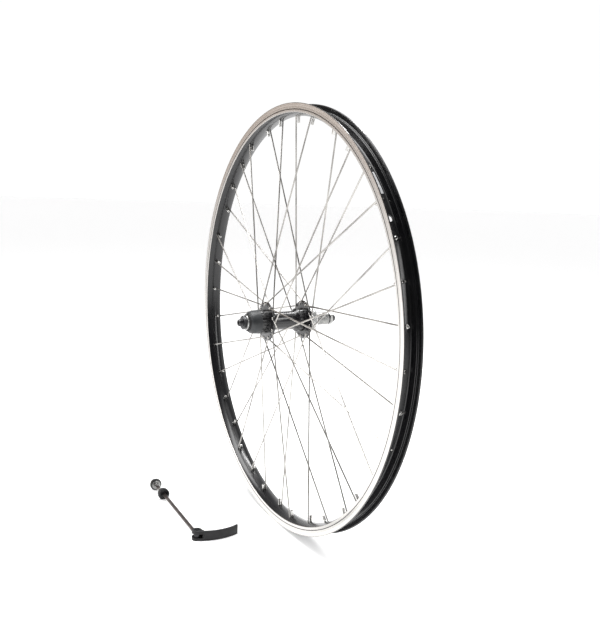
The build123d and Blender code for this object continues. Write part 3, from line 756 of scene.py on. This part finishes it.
# ---- Axle ---------------------------------------------------------------------------------
# A hollow M10 axle of blackened steel for the skewer to pass through.  Its thread shows at both
# ends, beyond the locknuts that the frame's dropouts bear on.
axle_low, axle_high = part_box("axle")
axle_radius = axle_high.x
axle_bore_radius = 2.75 * mm
axle_pitch = 1.0 * mm
axle_thread_depth = 0.4 * mm
axle_end_radius = 4.8 * mm
shown_thread = 5.4 * mm
axle_half = axle_high.y


def threaded_end(end, start):
    """Thread ridges from near the axle's end back to where the locknut covers it."""
    way = 1 if end > start else -1
    corners = []
    ridges = int(abs(end - start) / axle_pitch)
    for ridge in range(ridges):
        base = start + way * ridge * axle_pitch
        corners += [(axle_end_radius - axle_thread_depth, base),
                    (axle_end_radius, base + way * 0.42 * axle_pitch),
                    (axle_end_radius, base + way * 0.55 * axle_pitch)]
    return corners


axle_corners = [(axle_bore_radius, -axle_half, 0.2 * mm), (axle_radius - 0.9 * mm, -axle_half, 0.15 * mm)]
axle_corners += list(reversed(threaded_end(-axle_half + 0.7 * mm, -axle_half + shown_thread)))
axle_corners += [(axle_radius - 0.1 * mm, -axle_half + shown_thread + 0.5 * mm),
                 (axle_radius - 0.1 * mm, axle_half - shown_thread - 0.5 * mm)]
axle_corners += threaded_end(axle_half - 0.7 * mm, axle_half - shown_thread)
axle_corners += [(axle_radius - 0.9 * mm, axle_half, 0.15 * mm), (axle_bore_radius, axle_half, 0.2 * mm)]
axle = turned("axle", axle_corners, 64)
black_oxide = surface("black_oxide_steel", (0.045, 0.045, 0.047), (0.09, 0.09, 0.092), (0.28, 0.46),
                      lambda tree: lathe_lines(tree, 2600.0), lambda tree: grain(tree, 260.0),
                      0.010 * mm, Metallic=0.85)
fitted(axle, [black_oxide], "axle_steel", "axle_assembly", "axle", smooth=25)

# ---- Washers, spacer and locknuts ---------------------------------------------------------
# Turned steel rings clamped on the axle.  The drive side has a grooved spacer for the freewheel's
# width, a lock washer and a bright locknut; the left has a thick washer and a blackened locknut.
bright_zinc = surface("bright_zinc", (0.34, 0.34, 0.335), (0.50, 0.50, 0.49), (0.24, 0.38),
                      lambda tree: lathe_lines(tree, 1600.0), lambda tree: grain(tree, 200.0),
                      0.004 * mm, Metallic=1.0)
spacer_finish = surface("turned_spacer_steel", (0.26, 0.26, 0.255), (0.38, 0.38, 0.37), (0.24, 0.36),
                        lambda tree: lathe_lines(tree, 1600.0), lambda tree: grain(tree, 200.0),
                        0.004 * mm, Metallic=1.0)
black_plate = surface("black_plated_steel", (0.020, 0.020, 0.022), (0.045, 0.045, 0.048), (0.26, 0.42),
                      lambda tree: lathe_lines(tree, 2400.0), lambda tree: grain(tree, 260.0),
                      0.010 * mm, Metallic=0.6)
washer_low, washer_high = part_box("left_washer")
washer_corners = [(axle_radius, washer_low.y, 0.2 * mm), (washer_high.x, washer_low.y, 0.45 * mm),
                  (washer_high.x, washer_high.y, 0.45 * mm), (axle_radius, washer_high.y)]
left_washer = turned("left_washer", washer_corners, 72)
fitted(left_washer, [bright_zinc], "washer_zinc", "axle_assembly", "left_washer")

lock_low, lock_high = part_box("right_lock_washer")
lock_corners = [(axle_radius, lock_low.y), (lock_high.x, lock_low.y, 0.3 * mm),
                (lock_high.x, lock_high.y, 0.3 * mm), (axle_radius, lock_high.y)]
right_lock_washer = turned("right_lock_washer", lock_corners, 72)
fitted(right_lock_washer, [black_plate], "locknut_black", "axle_assembly", "right_lock_washer")

spacer_low, spacer_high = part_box("right_spacer")
spacer_radius = spacer_high.x
groove_pitch = 2.0 * mm
groove_depth = 0.45 * mm
spacer_corners = [(axle_radius, spacer_low.y), (spacer_radius, spacer_low.y, 0.2 * mm)]
for groove in range(1, int((spacer_high.y - spacer_low.y) / groove_pitch)):
    middle = spacer_low.y + groove * groove_pitch
    spacer_corners += [(spacer_radius, middle - 0.5 * mm, 0.12 * mm), (spacer_radius - groove_depth, middle - 0.3 * mm, 0.1 * mm),
                       (spacer_radius - groove_depth, middle + 0.3 * mm, 0.1 * mm), (spacer_radius, middle + 0.5 * mm, 0.12 * mm)]
spacer_corners += [(spacer_radius, spacer_high.y, 0.2 * mm), (axle_radius, spacer_high.y)]
right_spacer = turned("right_spacer", spacer_corners, 96)
fitted(right_spacer, [spacer_finish], "spacer_steel", "axle_assembly", "right_spacer", smooth=30)


def locknut(node_name):
    """A hexagon nut: six flats cut to a disc whose faces are turned to a shallow cone."""
    low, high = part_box(node_name)
    flats = 17.0 * mm
    corner_radius = flats / 2 + 0.75 * mm
    rise = 0.7 * mm
    disc_corners = [(axle_radius - 0.02 * mm, low.y, 0.3 * mm), (flats / 2 - 0.5 * mm, low.y, 0.1 * mm),
                    (corner_radius, low.y + rise), (corner_radius, high.y - rise),
                    (flats / 2 - 0.5 * mm, high.y, 0.1 * mm), (axle_radius - 0.02 * mm, high.y, 0.3 * mm)]
    nut = turned(node_name, disc_corners, 120)
    clear_selection()
    bpy.ops.mesh.primitive_cylinder_add(vertices=6, radius=flats / math.sqrt(3), depth=2 * (high.y - low.y),
                                        location=(0, (low.y + high.y) / 2, 0), rotation=(math.pi / 2, 0, 0))
    return combined(nut, joined("hexagon", [bpy.context.object]), "INTERSECT")


fitted(locknut("left_locknut"), [black_plate], "locknut_black", "axle_assembly", "left_locknut", smooth=20)
fitted(locknut("right_locknut"), [bright_zinc], "washer_zinc", "axle_assembly", "right_locknut", smooth=20)

# ---- Skewer rod and barrel ----------------------------------------------------------------
# A 5 mm steel rod with a rolled thread at the nut's end.  The other end is screwed into the
# barrel, a short cross pin that the lever's two ears turn on.
pivot = Vector((15.5 * mm, -132.0 * mm, -279.3606 * mm))
lean = math.radians(0.6654)
along_rod = Vector((math.cos(lean), 0, -math.sin(lean)))
pivot_axis = Vector((math.sin(lean), 0, math.cos(lean)))
skewer_place = Matrix((along_rod, Vector((0, 1, 0)), pivot_axis)).transposed().to_4x4()
skewer_place.translation = pivot
rod_radius = 2.5 * mm
rod_end = -191.0 * mm
rod_pitch = 0.8 * mm
rod_thread_length = 24.0 * mm
barrel_radius = 4.0 * mm
barrel_half = 5.8 * mm


def on_skewer(piece):
    """A piece built along X at the pivot, laid where the skewer lies on the floor."""
    piece.matrix_world = skewer_place @ piece.matrix_world
    return joined(piece.name, [piece])


def rod_lines(tree, scale, detail=4.0):
    """Fine rings round the skewer's own axis."""
    place = add_node(tree, "TexCoord").outputs["Object"]
    along = add_node(tree, "VectorMath", {0: place, 1: along_rod}, operation="DOT_PRODUCT").outputs["Value"]
    return add_node(tree, "TexNoise", {"W": along, "Scale": scale, "Detail": detail},
                    noise_dimensions="1D").outputs["Fac"]


rod_corners = [(0, rod_end), (rod_radius - 0.6 * mm, rod_end, 0.15 * mm)]
for ridge in range(int(rod_thread_length / rod_pitch)):
    base = rod_end + 0.6 * mm + ridge * rod_pitch
    rod_corners += [(rod_radius - 0.4 * mm, base), (rod_radius - 0.02 * mm, base + 0.4 * rod_pitch),
                    (rod_radius - 0.02 * mm, base + 0.55 * rod_pitch)]
rod_corners += [(rod_radius - 0.12 * mm, rod_end + rod_thread_length + 1.0 * mm),
                (rod_radius, rod_end + rod_thread_length + 2.5 * mm), (rod_radius, -3.0 * mm), (rod_radius - 0.3 * mm, 1.2 * mm),
                (0, 1.2 * mm)]
skewer_rod = on_skewer(turned("skewer_rod", rod_corners, 40, axis=(1, 0, 0)))
dark_rod = surface("dark_plated_rod", (0.075, 0.062, 0.060), (0.135, 0.118, 0.114), (0.26, 0.40),
                   lambda tree: rod_lines(tree, 1800.0), lambda tree: grain(tree, 90.0),
                   0.008 * mm, Metallic=0.9)
fitted(skewer_rod, [dark_rod], "rod_steel", "skewer", "skewer_rod", smooth=25)

barrel_corners = [(0, -barrel_half), (barrel_radius, -barrel_half, 0.4 * mm), (barrel_radius, barrel_half, 0.4 * mm),
                  (1.7 * mm, barrel_half, 0.15 * mm), (1.7 * mm, barrel_half - 0.8 * mm), (0, barrel_half - 1.4 * mm)]
barrel = turned("skewer_barrel", barrel_corners, 48, axis=(0, 0, 1))
bore_corners = [(0, -9 * mm), (rod_radius + 0.01 * mm, -9 * mm), (rod_radius + 0.01 * mm, 1.25 * mm), (0, 1.25 * mm)]
barrel = combined(barrel, turned("barrel_bore", bore_corners, 40, axis=(1, 0, 0)))
fitted(on_skewer(barrel), [black_plate], "barrel_steel", "skewer", "skewer_barrel")

# ---- Lever --------------------------------------------------------------------------------
# Cast and satin black.  Two eccentric ears straddle the rod and turn on the barrel, and the
# blade bows outwards and thins towards a squared tip.
lever_height = 13.0 * mm
ear_radius = 6.6 * mm
ear_offset = 0.9 * mm
fork_gap = 5.5 * mm
lever_reach = 56.0 * mm
lever_bulge = 12.0 * mm
root_thickness = 3.6 * mm
tip_thickness = 2.4 * mm
fork_depth = 5.2 * mm


def arc_through(start, middle, end, count):
    """Evenly spaced points on the circle through three points, in the order given."""
    a, b, c = (complex(*point) for point in (start, middle, end))
    w = (c - a) / (b - a)
    centre = (b - a) * (w - abs(w) ** 2) / (2j * w.imag) + a
    radius = abs(a - centre)
    angles = [math.atan2((p - centre).imag, (p - centre).real) for p in (a, b, c)]
    sweep = (angles[2] - angles[0]) % math.tau
    if (angles[1] - angles[0]) % math.tau > sweep:
        sweep -= math.tau
    return [(centre.real + radius * math.cos(angles[0] + sweep * step / count),
             centre.imag + radius * math.sin(angles[0] + sweep * step / count)) for step in range(count + 1)]


def plate(name, outline, low, high):
    """A flat plate: the outline is drawn point by point, filled and drawn up to its thickness."""
    clear_selection()
    bpy.ops.mesh.primitive_plane_add(size=mm)
    piece = bpy.context.object
    piece.name = name
    bpy.ops.object.mode_set(mode="EDIT")
    bpy.ops.mesh.select_all(action="SELECT")
    bpy.ops.mesh.merge(type="CENTER")
    bpy.ops.transform.translate(value=(*outline[0], low))
    for start, end in zip(outline, outline[1:]):
        step = (end[0] - start[0], end[1] - start[1], 0)
        bpy.ops.mesh.extrude_vertices_move(TRANSFORM_OT_translate={"value": step})
    bpy.ops.mesh.select_all(action="SELECT")
    bpy.ops.mesh.edge_face_add()
    bpy.ops.mesh.extrude_region_move(TRANSFORM_OT_translate={"value": (0, 0, high - low)})
    bpy.ops.mesh.select_all(action="SELECT")
    bpy.ops.mesh.normals_make_consistent(inside=False)
    bpy.ops.object.mode_set(mode="OBJECT")
    return piece


tip_out = (lever_bulge / 2, lever_reach)
tip_in = (tip_out[0] - tip_thickness, lever_reach - 0.6 * mm)
root_out = (ear_radius - 1.5 * ear_offset, -1.5 * mm)
root_in = (-2.4 * mm, ear_radius - ear_offset)
elbow_in = (lever_bulge - root_thickness - 3.4 * mm, ear_radius + 1.8 * mm)
belly_out = (lever_bulge, lever_reach / 2)
belly_in = (lever_bulge - 2.9 * mm, lever_reach / 2)
outer_curve = arc_through(root_out, belly_out, tip_out, 40)
inner_curve = arc_through(tip_in, belly_in, elbow_in, 32)
blade = plate("blade", outer_curve + inner_curve + [root_in], -lever_height / 2, lever_height / 2)
clear_selection()
bpy.ops.mesh.primitive_cylinder_add(vertices=72, radius=ear_radius, depth=lever_height, location=(-ear_offset, 0, 0))
ears = joined("ears", [bpy.context.object])
lever = combined(blade, ears, "UNION")
clear_selection()
lever.select_set(True)
bpy.context.view_layer.objects.active = lever
edge_round = lever.modifiers.new("edge_round", "BEVEL")
edge_round.width = 0.55 * mm
edge_round.segments = 3
edge_round.limit_method = "ANGLE"
edge_round.angle_limit = math.radians(40)
bpy.ops.object.modifier_apply(modifier=edge_round.name)
clear_selection()
slot_low = -4 * ear_radius
bpy.ops.mesh.primitive_cube_add(size=1, location=(0, (slot_low + fork_depth) / 2, 0))
fork = bpy.context.object
fork.scale = (4 * ear_radius, fork_depth - slot_low, fork_gap)
combined(lever, joined("fork", [fork]))
clear_selection()
bpy.ops.mesh.primitive_cylinder_add(vertices=64, radius=barrel_radius + 0.05 * mm, depth=2 * lever_height)
combined(lever, joined("pivot_bore", [bpy.context.object]))
satin_black = surface("satin_black_casting", (0.008, 0.008, 0.009), (0.017, 0.016, 0.018), (0.36, 0.50),
                      lambda tree: grain(tree, 1700.0), lambda tree: grain(tree, 130.0),
                      0.030 * mm, Specular_IOR_Level=0.32)
fitted(on_skewer(lever), [satin_black], "lever_black", "lever", "quick_release_lever", smooth=30)

# ---- Cam cup and its grip ring ------------------------------------------------------------
# A moulded cup slides on the rod.  The lever's ears bear in its curved saddle and push the
# serrated steel ring behind it against the dropout.
cup_front = -139.0 * mm
cup_back = -147.0 * mm
cup_radius_outer = 8.3 * mm
cup_slide = 2.8 * mm
saddle_depth = 3.0 * mm
cup_corners = [(cup_slide, cup_back, 0.1 * mm), (cup_radius_outer, cup_back, 0.3 * mm),
               (cup_radius_outer, cup_front - 1.7 * mm), (cup_radius_outer - 0.25 * mm, cup_front - 1.0 * mm),
               (cup_radius_outer - 0.8 * mm, cup_front - 0.35 * mm), (cup_radius_outer - 1.7 * mm, cup_front, 0.2 * mm),
               (cup_slide, cup_front, 0.1 * mm)]
cam_cup = turned("cam_cup", cup_corners, 96, axis=(1, 0, 0))
clear_selection()
bpy.ops.mesh.primitive_cylinder_add(vertices=72, radius=ear_radius + 0.2 * mm, depth=5 * ear_radius,
                                    location=(cup_front + ear_radius - saddle_depth, 0, 0))
combined(cam_cup, joined("saddle", [bpy.context.object]))
fitted(on_skewer(cam_cup), [satin_black], "cup_black", "cam", "cam_cup", smooth=30)

serrated_steel = surface("serrated_steel", (0.40, 0.40, 0.395), (0.60, 0.60, 0.59), (0.24, 0.36),
                         lambda tree: grain(tree, 2400.0), lambda tree: grain(tree, 300.0),
                         0.008 * mm, Metallic=1.0)


def serrated_ring(node_name, back, front, radius, inner, body):
    """A steel ring whose free face, at front, is cut into teeth that bite the dropout."""
    way = 1 if front > back else -1
    corners = [(inner, back), (radius, back, 0.15 * mm), (radius, front, 0.15 * mm), (inner, front, 0.15 * mm)]
    ring = turned(node_name, corners, 96, axis=(1, 0, 0))
    clear_selection()
    bpy.ops.mesh.primitive_cylinder_add(vertices=3, radius=0.55 * mm, depth=3 * radius,
                                        location=(front + way * 0.12 * mm, 0, 0), rotation=(0, 0, math.pi / 2 if way > 0 else -math.pi / 2))
    tooth_gap = joined("tooth_gap", [bpy.context.object])
    gaps = [copied(tooth_gap, Matrix.Rotation(math.pi * step / 14, 4, "X")) for step in range(14)]
    bpy.data.objects.remove(tooth_gap)
    for gap in gaps:
        combined(ring, joined("gap", [gap]))
    fitted(on_skewer(ring), [serrated_steel], "grip_steel", body, node_name, smooth=25)


serrated_ring("cam_grip_ring", cup_back, cup_back - 1.5 * mm, cup_radius_outer - 0.5 * mm,
              cup_radius_outer - 3.1 * mm, "cam")

# ---- Skewer nut, its grip ring and nylon insert -------------------------------------------
# Black anodised aluminium with a knurled rim for the fingers and a plain boss.  A steel ring
# sits in its face, and the nylon insert in the boss keeps it from working loose.
nut_face = -180.0 * mm
nut_radius = 8.7 * mm
nut_rim_thickness = 4.5 * mm
nut_boss_radius = 6.2 * mm
nut_back = nut_face - nut_rim_thickness - 7.0 * mm
nut_bore = rod_radius + 0.05 * mm
insert_radius = 4.8 * mm
insert_length = 3.0 * mm
recess_radius = nut_radius - 2.5 * mm
recess_floor = nut_face - 1.2 * mm
nut_corners = [(nut_bore, recess_floor), (recess_radius, recess_floor), (recess_radius, nut_face, 0.15 * mm),
               (nut_radius, nut_face, 0.4 * mm), (nut_radius, nut_face - nut_rim_thickness, 0.5 * mm),
               (nut_boss_radius, nut_face - nut_rim_thickness, 0.4 * mm), (nut_boss_radius - 0.49 * mm, nut_back, 0.5 * mm),
               (insert_radius, nut_back, 0.15 * mm), (insert_radius, nut_back + insert_length), (nut_bore, nut_back + insert_length)]
skewer_nut = turned("skewer_nut", nut_corners, 144, axis=(1, 0, 0))
knurl_count = 30
clear_selection()
bpy.ops.mesh.primitive_cylinder_add(vertices=12, radius=0.5 * mm, depth=nut_rim_thickness - 1.4 * mm,
                                    location=(nut_face - nut_rim_thickness / 2, nut_radius + 0.18 * mm, 0), rotation=(0, math.pi / 2, 0))
knurl = joined("knurl", [bpy.context.object])
knurls = [copied(knurl, Matrix.Rotation(math.tau * step / knurl_count, 4, "X")) for step in range(knurl_count)]
bpy.data.objects.remove(knurl)
combined(skewer_nut, joined("knurls", knurls))
nut_anodised = surface("black_anodised_nut", (0.010, 0.010, 0.011), (0.022, 0.022, 0.024), (0.20, 0.32),
                       lambda tree: rod_lines(tree, 2000.0), lambda tree: grain(tree, 160.0),
                       0.008 * mm, Specular_IOR_Level=0.6)
bare_boss = surface("turned_boss", (0.30, 0.30, 0.30), (0.46, 0.46, 0.455), (0.24, 0.36),
                    lambda tree: rod_lines(tree, 2400.0), lambda tree: grain(tree, 160.0),
                    0.008 * mm, Metallic=1.0)
skewer_nut.data.materials.append(nut_anodised)
skewer_nut.data.materials.append(bare_boss)
assign_faces(skewer_nut, 1, lambda middle, normal: middle.x < nut_face - nut_rim_thickness - 0.4 * mm)
fitted(on_skewer(skewer_nut), [], "nut_black", "nut", "skewer_nut", smooth=30)

insert_corners = [(nut_bore, nut_back + 0.05 * mm, 0.2 * mm), (insert_radius, nut_back + 0.05 * mm, 0.2 * mm),
                  (insert_radius, nut_back + insert_length), (nut_bore, nut_back + insert_length)]
nut_insert = turned("nut_insert", insert_corners, 64, axis=(1, 0, 0))
pale_nylon = surface("pale_nylon", (0.42, 0.42, 0.41), (0.56, 0.56, 0.55), (0.42, 0.58),
                     lambda tree: grain(tree, 1200.0), lambda tree: grain(tree, 200.0),
                     0.015 * mm, Subsurface_Weight=0.1)
fitted(on_skewer(nut_insert), [pale_nylon], "nylon_insert", "nut", "nut_insert")
serrated_ring("nut_grip_ring", recess_floor, recess_floor + 1.5 * mm, recess_radius, recess_radius - 2.6 * mm, "nut")

# ---- Springs ------------------------------------------------------------------------------
# Two conical springs of bright wire on the rod keep the cup and the nut centred and clear of the
# dropouts while the wheel is fitted.  Each has its wide end against a grip ring.
spring_wire = 0.4 * mm
spring_length = 10.5 * mm
spring_turns = 3.5
spring_large = 5.6 * mm
spring_small = 3.3 * mm
turn_steps = 28
bright_wire = surface("bright_spring_wire", (0.34, 0.34, 0.335), (0.50, 0.50, 0.49), (0.16, 0.26),
                      lambda tree: grain(tree, 2400.0), lambda tree: grain(tree, 300.0),
                      0.004 * mm, Metallic=1.0)


def conical_spring(node_name, large_end, way, body):
    """A wire bent to a narrowing helix, from its wide end towards its narrow one."""
    line = bpy.data.curves.new(node_name, "CURVE")
    line.dimensions = "3D"
    line.bevel_depth = spring_wire
    line.bevel_resolution = 3
    line.use_fill_caps = True
    coil = line.splines.new("POLY")
    count = int(spring_turns * turn_steps)
    coil.points.add(count)
    for step in range(count + 1):
        part = step / count
        angle = math.tau * spring_turns * part
        radius = spring_large + (spring_small - spring_large) * part
        along = large_end + way * (spring_wire + (spring_length - 2 * spring_wire) * part)
        coil.points[step].co = (along, radius * math.cos(angle), radius * math.sin(angle), 1)
    spring = bpy.data.objects.new(node_name, line)
    bpy.context.scene.collection.objects.link(spring)
    clear_selection()
    spring.select_set(True)
    bpy.context.view_layer.objects.active = spring
    bpy.ops.object.convert(target="MESH")
    fitted(on_skewer(bpy.context.object), [bright_wire], "spring_steel", body, node_name, smooth=50)


conical_spring("cam_spring", cup_back - 1.5 * mm, -1, "cam")
conical_spring("nut_spring", recess_floor + 1.5 * mm, 1, "outer_spring")
